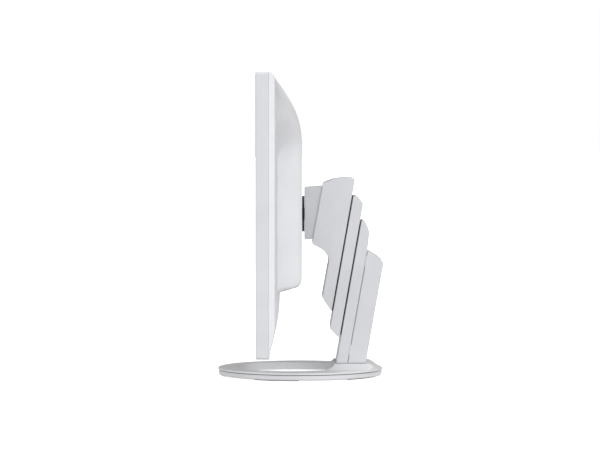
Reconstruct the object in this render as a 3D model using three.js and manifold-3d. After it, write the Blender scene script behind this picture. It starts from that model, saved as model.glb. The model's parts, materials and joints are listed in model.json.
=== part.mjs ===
// Desktop computer monitor on a ring-based, two-stage sliding stand.
// Millimetres, +Z up. Origin: centre of the round base, on the desk.
// The screen faces -Y; +X is on the right of somebody looking at the screen.
import * as THREE from 'three';
import { mergeVertices } from 'three/addons/utils/BufferGeometryUtils.js';
import Module from 'manifold-3d';

const wasm = await Module();
wasm.setup();

// ---------------------------------------------------------------- dimensions
// Head
const HEAD_W = 646;            // overall width
const HEAD_Z0 = 44.5;          // lower edge above the desk
const HEAD_Z1 = 441.5;         // upper edge
const HEAD_FRONT = -62;        // front plane
const HEAD_SEAM = -43.6;       // joint between bezel and rear cover
const REAR_PLANE = 2.4;        // rearmost plane of the head
const SCREEN_W = 597.7;        // bezel opening, 27 inch diagonal 16:9 image
const SCREEN_H = 336.7;
const SCREEN_TOP = 419.3;
const WALL = 2.4;              // moulded wall of the head
const HUMP_X = 219;            // half width of the raised electronics housing
const HUMP_BOTTOM = 129;

// Pivot and tilt
const PIVOT_Z = 237;
const DISC_R = 26.5;
const TILT_Y = 34.8;
const TILT_Z = 238;
const PIN_R = 5;
const BORE = 0.35;             // radial running clearance

// Stand: slabs lean back by LEAN; n is across the slabs, t is along them
const LEAN = THREE.MathUtils.degToRad(10);
const SLAB_X = 50;             // half width of every slab
const CHEEK_IN = 45.3;         // inner face of the carriage cheeks
const CHEEK_TAPER = 1.71;      // over 30 mm
const A_FRONT = 11.6, A_REAR = 28.9;
const B_FRONT = 30.9, B_REAR = 46.9;
const C_FRONT = 48.9, C_REAR = 65.0;
const D_FRONT = 65.5, D_REAR = 91.7;
const FOOT_Z = 18.4;           // underside of the column shells

// Base
const BASE_R = 122.5;
const RING_R = 121.2;          // lower ring, a little inside the turntable
const RING_IN = 100;
const HOLE_R = 84;             // opening in the turntable
const HOLE_Y = -11;            // its centre
const HOLE_CHORD = 49;         // straight rear edge of the opening
const PLATE_Z = 12;            // turntable top at the rim
const PLATE_RISE = 8.4;        // swell under the column
const SWELL_FRONT = 35;        // how far the swell runs out forwards, sideways and backwards
const SWELL_SIDE = 23;
const SWELL_REAR = 20;
const LIFT = 2.4;              // height of the column's foot above its place in the stand drawing
const GAP = 0.3;

// ---------------------------------------------------------------- helpers
const S = Math.sin(LEAN), C = Math.cos(LEAN);
// slab coordinates (n, t) to (Y, Z)
const slab = (n, t) => [n * C + t * S, -n * S + t * C];

const outline = (pts, seg = 4) => {
  const out = [];
  const n = pts.length;
  for (let i = 0; i < n; i++) {
    const [px, py, r = 0] = pts[i];
    if (!r) { out.push(new THREE.Vector2(px, py)); continue; }
    const a = pts[(i + n - 1) % n], b = pts[(i + 1) % n];
    const A = new THREE.Vector2(a[0] - px, a[1] - py);
    const B = new THREE.Vector2(b[0] - px, b[1] - py);
    const la = A.length(), lb = B.length();
    A.normalize(); B.normalize();
    const half = Math.acos(THREE.MathUtils.clamp(A.dot(B), -1, 1)) / 2;
    const d = Math.min(r / Math.tan(half), la * 0.49, lb * 0.49);
    const rr = d * Math.tan(half);
    const dir = A.clone().add(B).normalize();
    const cx = px + dir.x * rr / Math.sin(half), cy = py + dir.y * rr / Math.sin(half);
    const a0 = Math.atan2(py + A.y * d - cy, px + A.x * d - cx);
    let da = Math.atan2(py + B.y * d - cy, px + B.x * d - cx) - a0;
    while (da > Math.PI) da -= 2 * Math.PI;
    while (da < -Math.PI) da += 2 * Math.PI;
    for (let k = 0; k <= seg; k++) {
      const q = a0 + da * k / seg;
      out.push(new THREE.Vector2(cx + rr * Math.cos(q), cy + rr * Math.sin(q)));
    }
  }
  return out;
};

const shapeOf = (pts, holes = []) => {
  const s = new THREE.Shape(pts);
  for (const h of holes) s.holes.push(new THREE.Path(h));
  return s;
};
const circle = (r, n = 32, cx = 0, cy = 0) => {
  const out = [];
  for (let i = 0; i < n; i++) {
    const a = 2 * Math.PI * i / n;
    out.push(new THREE.Vector2(cx + r * Math.cos(a), cy + r * Math.sin(a)));
  }
  return out;
};
const rect = (x0, x1, y0, y1, r = 0, seg = 3) =>
  outline([[x0, y0, r], [x1, y0, r], [x1, y1, r], [x0, y1, r]], seg);

const extrude = (shape, depth) =>
  new THREE.ExtrudeGeometry(shape, { depth, bevelEnabled: false, steps: 1, curveSegments: 1 });
// profile in (Y, Z), extruded along X
const alongX = (shape, x0, x1) => extrude(shape, x1 - x0)
  .applyMatrix4(new THREE.Matrix4().set(0, 0, 1, x0, 1, 0, 0, 0, 0, 1, 0, 0, 0, 0, 0, 1));
// profile in (X, Z), extruded along Y
const alongY = (shape, y0, y1) => extrude(shape, y1 - y0)
  .applyMatrix4(new THREE.Matrix4().set(1, 0, 0, 0, 0, 0, -1, y1, 0, 1, 0, 0, 0, 0, 0, 1));
// profile in (X, Y), extruded along Z
const alongZ = (shape, z0, z1) => extrude(shape, z1 - z0).translate(0, 0, z0);

const toSolid = (geometry) => {
  const g = geometry.clone();
  g.deleteAttribute('normal');
  g.deleteAttribute('uv');
  const m = mergeVertices(g, 1e-4);
  return new wasm.Manifold(new wasm.Mesh({
    numProp: 3,
    vertProperties: new Float32Array(m.attributes.position.array),
    triVerts: new Uint32Array(m.index.array),
  }));
};
const toGeometry = (solid) => {
  const mesh = solid.getMesh();
  const g = new THREE.BufferGeometry();
  g.setAttribute('position', new THREE.BufferAttribute(new Float32Array(mesh.vertProperties), 3));
  g.setIndex(new THREE.BufferAttribute(new Uint32Array(mesh.triVerts), 1));
  g.computeVertexNormals();
  return g;
};
const asSolid = (g) => (g.isBufferGeometry ? toSolid(g) : g);
const cut = (a, ...bs) => bs.reduce((s, b) => s.subtract(asSolid(b)), asSolid(a));
const join = (a, ...bs) => bs.reduce((s, b) => s.add(asSolid(b)), asSolid(a));

const box = (x0, x1, y0, y1, z0, z1) =>
  new THREE.BoxGeometry(x1 - x0, y1 - y0, z1 - z0).translate((x0 + x1) / 2, (y0 + y1) / 2, (z0 + z1) / 2);
// block given in slab coordinates
const slabBox = (x0, x1, n0, n1, t0, t1) =>
  alongX(shapeOf([slab(n0, t0), slab(n1, t0), slab(n1, t1), slab(n0, t1)].map((p) => new THREE.Vector2(...p))), x0, x1);
const slabPrism = (x0, x1, pts, seg = 3) =>
  alongX(shapeOf(outline(pts.map(([n, t, r]) => [...slab(n, t), r]), seg)), x0, x1);
// section in (X, n), extruded along the slabs
const alongT = (pts, t0, t1) => extrude(shapeOf(pts.map(([x, n]) => new THREE.Vector2(x, n))), t1 - t0)
  .applyMatrix4(new THREE.Matrix4().set(1, 0, 0, 0, 0, C, S, t0 * S, 0, -S, C, t0 * C, 0, 0, 0, 1));
const discX = (r, x0, x1, y, z, n = 24) => alongX(shapeOf(circle(r, n, y, z)), x0, x1);
const discY = (r, y0, y1, x, z, n = 24) => alongY(shapeOf(circle(r, n, x, z)), y0, y1);
const discZ = (r, z0, z1, x, y, n = 24) => alongZ(shapeOf(circle(r, n, x, y)), z0, z1);
const turned = (profile, n = 48) => {
  // profile: closed list of (radius, height); turned about Z
  const pts = profile.map(([r, z]) => new THREE.Vector2(r, z));
  pts.push(pts[0].clone());
  const g = new THREE.LatheGeometry(pts, n);
  g.rotateX(Math.PI / 2);
  return g;
};

const group = new THREE.Group();
const upper = new THREE.Group();        // column, slabs, neck and head stand LIFT higher than they are drawn
upper.position.z = LIFT;
group.add(upper);
const ON_BASE = /^(base_ring|foot_pad_\d|glide_ring|turntable_plate|retaining_ring)$/;
const COLOURS = {
  shell: [0xe9eaee, 0.48, 0.0], shell2: [0xdfe1e6, 0.5, 0.0], dark: [0x3b3c40, 0.55, 0.1],
  glass: [0x101214, 0.22, 0.0], steel: [0x9a9da2, 0.4, 0.9], zinc: [0xb9bcc0, 0.5, 0.7],
  board: [0x1f5136, 0.6, 0.0], rubber: [0x2a2a2c, 0.9, 0.0], clear: [0xe8eef0, 0.2, 0.0],
  pom: [0xf1efe6, 0.4, 0.0], socket: [0x222326, 0.5, 0.2], sheet: [0xf4f4f2, 0.6, 0.0],
  key: [0xe2e4e9, 0.45, 0.0], cone: [0x2c2d30, 0.8, 0.0],
};
const add = (name, geometry, colour) => {
  const [hex, roughness, metalness] = COLOURS[colour];
  const g = geometry.isBufferGeometry ? geometry : toGeometry(geometry);
  const mesh = new THREE.Mesh(g, new THREE.MeshStandardMaterial({ color: hex, roughness, metalness }));
  mesh.name = name;
  (ON_BASE.test(name) ? group : upper).add(mesh);
  return mesh;
};

// ---------------------------------------------------------------- base
add('base_ring', cut(
  turned([[RING_IN, 4.2], [103.2, 4.2], [103.2, 1.0], [119.4, 1.0], [RING_R, 2.6], [RING_R, 7.7],
    [120.8, 8.1], [114.2, 8.1], [114.2, 6.3], [105.8, 6.3], [105.8, 8.1], [RING_IN, 8.1]], 60),
  ...[0, 1, 2, 3, 4].map((i) => {
    const a = -Math.PI / 2 + i * 2 * Math.PI / 5, h = 0.30;
    const arc = [];
    for (let k = 0; k <= 6; k++) { const q = a - h + 2 * h * k / 6; arc.push(new THREE.Vector2(117.4 * Math.cos(q), 117.4 * Math.sin(q))); }
    for (let k = 6; k >= 0; k--) { const q = a - h + 2 * h * k / 6; arc.push(new THREE.Vector2(106.6 * Math.cos(q), 106.6 * Math.sin(q))); }
    return alongZ(shapeOf(arc), 0.2, 1.8);
  })), 'shell2');

for (let i = 0; i < 5; i++) {
  const a = -Math.PI / 2 + i * 2 * Math.PI / 5, h = 0.295;
  const arc = [];
  for (let k = 0; k <= 6; k++) { const q = a - h + 2 * h * k / 6; arc.push(new THREE.Vector2(117 * Math.cos(q), 117 * Math.sin(q))); }
  for (let k = 6; k >= 0; k--) { const q = a - h + 2 * h * k / 6; arc.push(new THREE.Vector2(107 * Math.cos(q), 107 * Math.sin(q))); }
  add(`foot_pad_${i + 1}`, alongZ(shapeOf(arc), 0, 1.5), 'rubber');
}

add('glide_ring', turned([[106.2, 6.6], [113.8, 6.6], [113.8, 8.6], [106.2, 8.6]], 60), 'pom');

// turntable: opening edge, swelling top, rounded rim, flat underside and inner skirt
const plateTop = (x, y) => {
  const dx = Math.max(0, Math.abs(x) - SLAB_X - 1), front = Math.max(0, 52 - y), rear = Math.max(0, y - 99);
  const u = THREE.MathUtils.clamp(1 - Math.hypot(dx / SWELL_SIDE, front / SWELL_FRONT, rear / SWELL_REAR), 0, 1);
  return PLATE_Z + PLATE_RISE * u * u * (3 - 2 * u);
};
{
  const N = 64;
  const holeRho = (q, e) => {
    const s = Math.sin(q), r = HOLE_R + e;
    return s > 0.05 ? Math.min(r, (HOLE_CHORD + e - HOLE_Y) / s) : r;
  };
  const rimRho = (q, R) => { const s = Math.sin(q), d = -HOLE_Y; return d * s + Math.sqrt(d * d * s * s - d * d + R * R); };
  // angles with lines on the two corners of the opening
  const qc = Math.asin((HOLE_CHORD - HOLE_Y) / HOLE_R);
  const angles = [];
  const fill = (a, b, k) => { for (let i = 0; i < k; i++) angles.push(a + (b - a) * i / k); };
  fill(qc, Math.PI - qc, 12);
  fill(Math.PI - qc, 2 * Math.PI + qc, N - 12);
  const rows = [];
  const at = (q, rho) => [rho * Math.cos(q), HOLE_Y + rho * Math.sin(q)];
  for (const q of angles) {
    const col = [];
    const top = (rho, dz = 0) => { const [x, y] = at(q, rho); col.push([x, y, plateTop(x, y) + dz]); };
    const flat = (rho, z) => { const [x, y] = at(q, rho); col.push([x, y, z]); };
    flat(holeRho(q, 0), 1.3);
    top(holeRho(q, 0), -1.0);
    top(holeRho(q, 0.3), -0.3);
    top(holeRho(q, 1.0));
    const r0 = holeRho(q, 1.0), r1 = rimRho(q, 118.5);
    for (const f of [0.22, 0.45, 0.7]) top(r0 + (r1 - r0) * f);
    top(r1);
    top(rimRho(q, 120.6), -0.25);
    top(rimRho(q, 121.9), -1.1);
    flat(rimRho(q, BASE_R), 10.2);
    flat(rimRho(q, BASE_R), 9.4);
    flat(rimRho(q, 122.0), 8.9);
    flat(holeRho(q, 3), 8.9);
    flat(holeRho(q, 3), 1.3);
    rows.push(col);
  }
  const M = rows[0].length, pos = [], idx = [];
  rows.forEach((col) => col.forEach((p) => pos.push(...p)));
  for (let i = 0; i < rows.length; i++) for (let j = 0; j < M; j++) {
    const i2 = (i + 1) % rows.length, j2 = (j + 1) % M;
    const a = i * M + j, b = i2 * M + j, c = i2 * M + j2, d = i * M + j2;
    idx.push(a, d, c, a, c, b);
  }
  const g = new THREE.BufferGeometry();
  g.setAttribute('position', new THREE.Float32BufferAttribute(pos, 3));
  g.setIndex(idx);
  const bosses = [30, 90, 150].map((d) => {
    const a = THREE.MathUtils.degToRad(d);
    return discZ(4, 3.8, 9.4, 91 * Math.cos(a), 91 * Math.sin(a), 16);
  });
  let plate = join(g, ...bosses);
  if (plate.volume && plate.volume() < 0) throw new Error('turntable inside out');
  add('turntable_plate', plate, 'shell');
}

{
  const ring = turned([[98.5, 1.5], [102.6, 1.5], [102.6, 3.5], [98.5, 3.5]], 60);
  const tabs = [30, 90, 150].map((d) => {
    const a = THREE.MathUtils.degToRad(d);
    const t = box(86, 99.5, -6, 6, 1.5, 3.5);
    t.rotateZ(a);
    return t;
  });
  add('retaining_ring', join(ring, ...tabs), 'steel');
}

// ---------------------------------------------------------------- column (fixed slabs)
const zCut = (z) => box(-60, 60, 20, 160, z - 60, z);
add('column_front', cut(
  slabPrism(-SLAB_X, SLAB_X, [[C_FRONT, -10], [C_REAR, -10], [C_REAR, 199, 4], [63.4, 226.5, 4], [57, 237, 6], [C_FRONT, 243, 4]]),
  slabPrism(-47.2, 47.2, [[C_FRONT + 2.6, 20], [C_REAR + 5, 20], [C_REAR + 5, 190], [C_REAR - 2.6, 197], [61, 225], [55.5, 234], [C_FRONT + 2.6, 238]], 1),
  slabBox(-8, 8, C_FRONT - 3, C_FRONT + 4, 70, 236),
  zCut(FOOT_Z),
  // open underneath, where the frame stands
  box(-44, 44, 55.5, 90, FOOT_Z - 5, 30)), 'shell');

add('column_rear_cover', join(cut(
  slabPrism(-SLAB_X, SLAB_X, [[D_FRONT, -10], [D_REAR, -10], [D_REAR, 186, 7], [80, 192.5], [D_FRONT, 197.5, 2]]),
  slabPrism(-47.2, 47.2, [[D_FRONT - 5, -15], [D_REAR - 2.8, -15], [D_REAR - 2.8, 182], [78, 188.5], [D_FRONT - 5, 193]], 1),
  zCut(FOOT_Z)),
  // pads on the side walls that close the seam where the cover clips on
  ...[-1, 1].flatMap((s) => [[42.1, 57.8], [174.8, 191.1]].map(([t0, t1]) =>
    slabBox(Math.min(s * 47.2, s * SLAB_X), Math.max(s * 47.2, s * SLAB_X), D_FRONT - 0.2, D_FRONT + 1.5, t0, t1)))), 'shell');

// steel post with a foot plate
add('column_frame', join(
  cut(alongT([[-36, 60.1], [36, 60.1], [36, 80], [33.5, 80], [33.5, 62.6], [-33.5, 62.6], [-33.5, 80], [-36, 80]], 20, 184),
    box(-60, 60, 20, 160, -30, 19)),
  box(-42, 42, 58.5, 90, 18.7, 21.9)), 'steel');

// C-section rail: web to the rear, lips to the front
const rail = (n0, t0, t1) => alongT([[-16, n0], [-7, n0], [-7, n0 + 1.6], [-13, n0 + 1.6], [-13, n0 + 6], [13, n0 + 6],
  [13, n0 + 1.6], [7, n0 + 1.6], [7, n0], [16, n0], [16, n0 + 7.6], [-16, n0 + 7.6]], t0, t1);
// T-section slider: plate, neck and head
const slider = (p0, p1, n0, t0, t1) => alongT([[-20, p0], [20, p0], [20, p1], [5.4, p1], [5.4, n0 + 2.1], [12.3, n0 + 2.1],
  [12.3, n0 + 5.4], [-12.3, n0 + 5.4], [-12.3, n0 + 2.1], [-5.4, n0 + 2.1], [-5.4, p1], [-20, p1]], t0, t1);
add('lower_rail', rail(52.0, 70, 221), 'steel');
add('lift_spring_drum', join(
  discX(8.5, -9, 9, ...slab(73, 168), 24),
  slabBox(-8.5, 8.5, 64.7, 65.6, 92, 168.4)), 'steel');

// ---------------------------------------------------------------- middle slab
add('middle_shell', cut(
  slabPrism(-SLAB_X, SLAB_X, [[B_FRONT, 76, 1.5], [B_REAR, 64.5, 1.5], [B_REAR, 266, 6], [40, 272.5], [B_FRONT, 276, 4]]),
  slabPrism(-47.2, 47.2, [[B_FRONT + 2.7, 78.5], [B_REAR + 5, 66.9], [B_REAR + 5, 262], [40, 269.5], [B_FRONT + 2.7, 272.3]], 1),
  slabBox(-8, 8, B_FRONT - 3, B_FRONT + 4, 102, 269)), 'shell');
add('upper_rail', rail(33.9, 104, 267), 'steel');
add('lower_slider', slider(41.9, 45.6, 52.0, 80, 130), 'zinc');

// ---------------------------------------------------------------- carriage
{
  const sweep = new THREE.CatmullRomCurve3([[17.4, 193.6], [22.5, 191.2], [29.5, 187.4], [35.2, 183], [39.6, 177.2], [41.6, 170.5], [41.2, 164.5], [39.8, 157.5]]
    .map(([y, z]) => new THREE.Vector3(y, z, 0)), false, 'catmullrom', 0.5).getPoints(12).map((p) => new THREE.Vector2(p.x, p.y));
  const rearTop = slab(A_REAR, 300.2), rearBottom = slab(A_REAR, 100.9);
  const head = outline([[39.8, 157.5], [34.0, 283.4, 5], [49.5, 289.4, 30], [65.6, 291.4, 30], [...rearTop, 3], [...rearBottom, 1], [32.2, 115.2, 1.5]], 4);
  // replace the first corner by the sweep between the slab face and the cheek edge
  head.shift();
  const profile = [...sweep.slice().reverse(), ...head];
  const solid = alongX(shapeOf(profile), -SLAB_X, SLAB_X);
  const pocket = slabPrism(-CHEEK_IN, CHEEK_IN, [[-40, 176], [A_REAR - 3, 176, 3], [A_REAR - 3, 292.5, 3], [0, 287], [-3.5, 287], [-3.5, 330], [-40, 330]], 2);
  const lower = slabPrism(-46.8, 46.8, [[A_FRONT + 2.8, 121], [A_REAR + 5, 98], [A_REAR + 5, 172], [A_FRONT + 2.8, 172]], 1);
  // the cheeks' outer faces close in slightly towards the screen
  const taper = (s) => alongT(s > 0
    ? [[SLAB_X, A_FRONT], [SLAB_X - CHEEK_TAPER, A_FRONT - 30], [SLAB_X + 3, A_FRONT - 30], [SLAB_X + 3, A_FRONT]]
    : [[-SLAB_X, A_FRONT], [-SLAB_X - 3, A_FRONT], [-SLAB_X - 3, A_FRONT - 30], [-SLAB_X + CHEEK_TAPER, A_FRONT - 30]], 150, 310);
  add('carriage_shell', cut(solid, pocket, lower, taper(1), taper(-1)), 'shell');
}
add('upper_slider', slider(21.0, 25.4, 33.9, 115, 164), 'zinc');
// pressed bracket with two ears that carry the tilt pin
const ear = (x0, x1) => {
  const [fy, fz] = slab(22.2, 232);
  return alongX(shapeOf(outline([
    [TILT_Y, TILT_Z - 9], [...slab(22.6, 216)], [...slab(22.6, 262)], [TILT_Y + 2, TILT_Z + 9, 2],
    [TILT_Y - 6.4, TILT_Z + 6.4], [TILT_Y - 9, TILT_Z], [TILT_Y - 6.4, TILT_Z - 6.4]], 3)), x0, x1);
};
add('tilt_bracket', cut(join(
  slabBox(-40.2, 40.2, 22.2, 25.4, 184, 284), ear(-40.2, -36.8), ear(36.8, 40.2)),
  discX(PIN_R + GAP, -60, 60, TILT_Y, TILT_Z)), 'steel');
add('tilt_pin', discX(PIN_R, -42.5, 42.5, TILT_Y, TILT_Z, 32), 'steel');
for (const [side, s] of [['left', -1], ['right', 1]]) {
  const x0 = s > 0 ? 33.4 : -36.4, x1 = s > 0 ? 36.4 : -33.4;
  add(`tilt_spring_${side}`, cut(discX(9, x0, x1, TILT_Y, TILT_Z, 32), discX(PIN_R + GAP, x0 - 1, x1 + 1, TILT_Y, TILT_Z)), 'steel');
}

// ---------------------------------------------------------------- tilt block
{
  const front = alongX(shapeOf(outline([[6.2, 200.8, 1.5], [23.5, 200.8], [22.6, 226], [22.6, 239], [38.4, 263], [39.5, 272, 3], [36, 278.6, 3], [6.2, 276.4, 2]], 3)), -44, 44);
  const hub = alongX(shapeOf(outline([[20, 212], [34.8, 228.4], [TILT_Y + 6.8, TILT_Z - 6.8], [TILT_Y + 9.6, TILT_Z], [TILT_Y + 6.8, TILT_Z + 6.8], [34.8, 250], [20, 262]], 2)), -33, 33);
  const flange = (x0, x1) => alongX(shapeOf(outline([[18, 206], [27, 212, 3], [28.5, 226, 4], [28.5, 246, 4], [30.5, 254, 2], [24, 256], [18, 250]], 2)), x0, x1);
  add('tilt_block', cut(join(front, hub, flange(-44, -41.2), flange(41.2, 44)), discX(PIN_R + BORE, -60, 60, TILT_Y, TILT_Z),
    discY(17, 0, 9.9, 0, PIVOT_Z), discY(9.4, 0, 14, 0, PIVOT_Z)), 'shell2');
  add('pivot_shaft', join(discY(16.6, 6.6, 9.5, 0, PIVOT_Z, 32), discY(9, -13, 13.5, 0, PIVOT_Z, 32)), 'steel');
  add('pivot_nut', cut(discY(15, -12.4, -5.4, 0, PIVOT_Z, 6), discY(9 + GAP, -14, -4, 0, PIVOT_Z)), 'steel');
  add('pivot_washer', cut(discY(16, -4.9, -3.6, 0, PIVOT_Z, 32), discY(9 + GAP, -6, -2, 0, PIVOT_Z)), 'pom');
}

// ---------------------------------------------------------------- head: rear side
add('pivot_disc', cut(alongY(shapeOf(circle(DISC_R, 48, 0, PIVOT_Z)), 2.7, 5.9), discY(9 + BORE, 0, 8, 0, PIVOT_Z)), 'dark');
{
  const holes = [[-50, -50], [50, -50], [-50, 50], [50, 50]];
  const plate = cut(
    alongY(shapeOf(rect(-61, 61, PIVOT_Z - 61, PIVOT_Z + 61, 6)), -3.1, 2.2),
    discY(9 + BORE, -5, 4, 0, PIVOT_Z),
    ...holes.map(([x, z]) => discY(2.3, -5, 4, x, PIVOT_Z + z, 16)),
    ...holes.map(([x, z]) => discY(4.6, 0.6, 4, x, PIVOT_Z + z, 20)));
  add('stand_plate', plate, 'steel');
  holes.forEach(([x, z], i) => add(`plate_screw_${i + 1}`,
    cut(join(discY(4.0, 0.9, 2.2, x, PIVOT_Z + z, 20), discY(1.95, -9, 1.2, x, PIVOT_Z + z, 12)),
      box(x - 2.2, x + 2.2, 1.5, 3, PIVOT_Z + z - 0.4, PIVOT_Z + z + 0.4),
      box(x - 0.4, x + 0.4, 1.5, 3, PIVOT_Z + z - 2.2, PIVOT_Z + z + 2.2)), 'steel'));
}

// rear cover: a shallow pan with a raised housing, as a shell of even wall
const lerpTable = (table, v) => {
  if (v <= table[0][0]) return table[0][1];
  for (let i = 1; i < table.length; i++) if (v <= table[i][0]) {
    const [a, ya] = table[i - 1], [b, yb] = table[i];
    return ya + (yb - ya) * (v - a) / (b - a);
  }
  return table[table.length - 1][1];
};
const smooth = (a, b, v) => { const u = THREE.MathUtils.clamp((v - a) / (b - a), 0, 1); return u * u * (3 - 2 * u); };
const EDGE = [[44.5, -42.3], [50, -42.1], [54, -41.6], [58, -40.6], [62, -39.3], [66, -38.1], [70, -37.2], [75, -36.2], [82, -34.9], [88, -34.6], [430, -34.6], [436, -35.9], [441.5, -39.6]];
const CROWN = [[129, -35], [138, -5], [139.6, -2.2], [142, 0], [146, 1.6], [151, REAR_PLANE], [346, REAR_PLANE],
  [356, 1.5], [365.7, 0.1], [378.5, -2.9], [392.4, -8.3], [408.9, -17.6], [423.5, -27], [435.4, -35.9], [441.5, -39.6]];
const panY = (x, z) => lerpTable(EDGE, z) + 4.6 * smooth(46, 116, z) * (1 - smooth(390, 432, z)) * Math.max(0, 1 - (x / 318) ** 2) * 0.9;
const coverY = (x, z) => {
  const pan = panY(x, z);
  const crown = lerpTable(CROWN, z);
  if (z <= CROWN[0][0] || crown <= pan) return pan;      // the housing starts above this height
  const w = smooth(325, 415, z);
  const xa = THREE.MathUtils.lerp(HUMP_X - 15.5, 215, w), xb = THREE.MathUtils.lerp(HUMP_X + 2, 318, w);
  const u = THREE.MathUtils.clamp((Math.abs(x) - xa) / (xb - xa), 0, 1);
  // chamfered edge, then a side wall that flares out at its foot
  const steep = u < 0.286 ? 1 - 0.14 * u / 0.286 : 0.86 * ((1 - u) / 0.714) ** 1.3;
  const soft = 1 - smooth(0, 1, u);
  return pan + (crown - pan) * THREE.MathUtils.lerp(steep, soft, w);
};
{
  const half = [0, 90, 150, 190, 200, 203.5, 208.5, 212, 216, 219, 221, 240, 270, 300, 316.5];
  const xs = [...half.slice(1).reverse().map((v) => -v), ...half];
  const zs = [50.5, 54, 58, 62, 66, 71, 77, 83, 90, 104, 118, 128.8, 132, 135, 138, 139.6, 142, 146, 151, 240, 320, 346, 356, 366, 378.5, 392.4, 401, 409, 423.5, 430, 435.5];
  const RIM = [[321.6, 47.2, 438.9, 0.55], [322.7, 45.0, 441.0, 1.0]];    // half width, z0, z1, how far to the seam
  const NX = xs.length, NZ = zs.length;
  const build = (inset) => {
    // grid of points: interior grid plus two border loops that come forward to the seam
    const P = [];
    const X = [-322.9 + inset, -321.9 + inset, ...xs, 321.9 - inset, 322.9 - inset];
    const Z = [HEAD_Z0 + 0.2 + inset, HEAD_Z0 + 1.2 + inset, ...zs, HEAD_Z1 - 1.2 - inset, HEAD_Z1 - 0.2 - inset];
    for (let j = 0; j < Z.length; j++) for (let i = 0; i < X.length; i++) {
      const ex = Math.min(i, X.length - 1 - i), ez = Math.min(j, Z.length - 1 - j), e = Math.min(ex, ez);
      const x = X[i], z = Z[j];
      const xi = THREE.MathUtils.clamp(x, -316.5, 316.5), zi = THREE.MathUtils.clamp(z, 50.5, 435.5);
      let y = coverY(xi, z) - inset;
      if (e === 1) y -= Math.min(2.2, 0.45 * Math.max(0, y - HEAD_SEAM - GAP));   // the rim stays a wall thick where the pan runs out into the seam
      if (e === 0) y = HEAD_SEAM + GAP;
      P.push([x, Math.max(y, HEAD_SEAM + GAP), z]);
    }
    return { P, W: X.length, H: Z.length };
  };
  const A = build(0), B = build(WALL);
  const pos = [...A.P, ...B.P].flat(), idx = [], off = A.P.length, W = A.W, H = A.H;
  for (let j = 0; j < H - 1; j++) for (let i = 0; i < W - 1; i++) {
    const a = j * W + i, b = a + 1, c = a + W + 1, d = a + W;
    // choose the diagonal that follows the fold at the corners
    const flip = (i < W / 2) === (j < H / 2);
    const T = flip ? [[a, d, c], [a, c, b]] : [[a, d, b], [b, d, c]];
    for (const [p, q, r] of T) { idx.push(p, q, r); idx.push(off + p, off + r, off + q); }
  }
  const loop = [];
  for (let i = 0; i < W - 1; i++) loop.push(i);
  for (let j = 0; j < H - 1; j++) loop.push(j * W + W - 1);
  for (let i = W - 1; i > 0; i--) loop.push((H - 1) * W + i);
  for (let j = H - 1; j > 0; j--) loop.push(j * W);
  loop.forEach((a, k) => {
    const b = loop[(k + 1) % loop.length];
    idx.push(a, b, off + b, a, off + b, off + a);
  });
  const g = new THREE.BufferGeometry();
  g.setAttribute('position', new THREE.Float32BufferAttribute(pos, 3));
  g.setIndex(idx);
  let cover = toSolid(g);
  // opening for the stand plate, socket bay underneath, vents in the upper slope
  cover = cut(cover, alongY(shapeOf(rect(-61.4, 61.4, PIVOT_Z - 61.4, PIVOT_Z + 61.4, 6.3)), -20, 10),
    box(-118, 118, -30, -10, 120, 150));
  for (let i = -4; i <= 4; i++) if (i !== 0) cover = cut(cover, box(i * 40 - 16, i * 40 + 16, -30, 10, 384, 387.5), box(i * 40 - 16, i * 40 + 16, -30, 10, 394, 397.5));
  add('rear_cover', cover, 'shell');
}

// ---------------------------------------------------------------- head: front side
const SC0 = SCREEN_TOP - SCREEN_H, SCX = SCREEN_W / 2;
const KEY_Z = 62, KEY_X0 = 196, KEY_PITCH = 22;
const KEYS = ['menu_key', 'down_key', 'up_key', 'enter_key', 'power_key'];
{
  const outer = rect(-HEAD_W / 2, HEAD_W / 2, HEAD_Z0, HEAD_Z1, 3, 3);
  const inner = rect(-HEAD_W / 2 + WALL, HEAD_W / 2 - WALL, HEAD_Z0 + WALL, HEAD_Z1 - WALL, 1, 1);
  const opening = rect(-SCX, SCX, SC0, SCREEN_TOP);
  let bezel = join(
    alongY(shapeOf(outer, [inner]), HEAD_FRONT + 1, HEAD_SEAM),
    alongY(shapeOf(outer, [opening]), HEAD_FRONT, HEAD_FRONT + WALL));
  KEYS.forEach((_, i) => {
    const x = KEY_X0 + i * KEY_PITCH;
    bezel = cut(bezel, alongY(shapeOf(rect(x - 7.4, x + 7.4, KEY_Z - 2.6, KEY_Z + 2.6, 2.4, 3)), HEAD_FRONT - 2, HEAD_FRONT + 5));
  });
  bezel = cut(bezel, discY(3.4, HEAD_FRONT - 2, HEAD_FRONT + 5, -0, KEY_Z, 16));
  add('front_bezel', bezel, 'shell');
}
KEYS.forEach((name, i) => {
  const x = KEY_X0 + i * KEY_PITCH;
  add(name, join(
    alongY(shapeOf(rect(x - 7, x + 7, KEY_Z - 2.2, KEY_Z + 2.2, 2.1, 3)), HEAD_FRONT - 0.1, HEAD_FRONT + 3.6),
    box(x - 1.5, x + 1.5, HEAD_FRONT + 3.4, HEAD_FRONT + 6.4, KEY_Z - 1.5, KEY_Z + 1.5)), 'key');
});
add('sensor_window', discY(3.1, HEAD_FRONT + 0.3, HEAD_FRONT + 4, 0, KEY_Z, 16), 'glass');
add('key_board', join(
  box(180, 300, -53.9, -52.3, 54, 70),
  ...KEYS.map((_, i) => box(KEY_X0 + i * KEY_PITCH - 3, KEY_X0 + i * KEY_PITCH + 3, -54.4, -53.6, KEY_Z - 3, KEY_Z + 3))), 'board');

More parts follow.
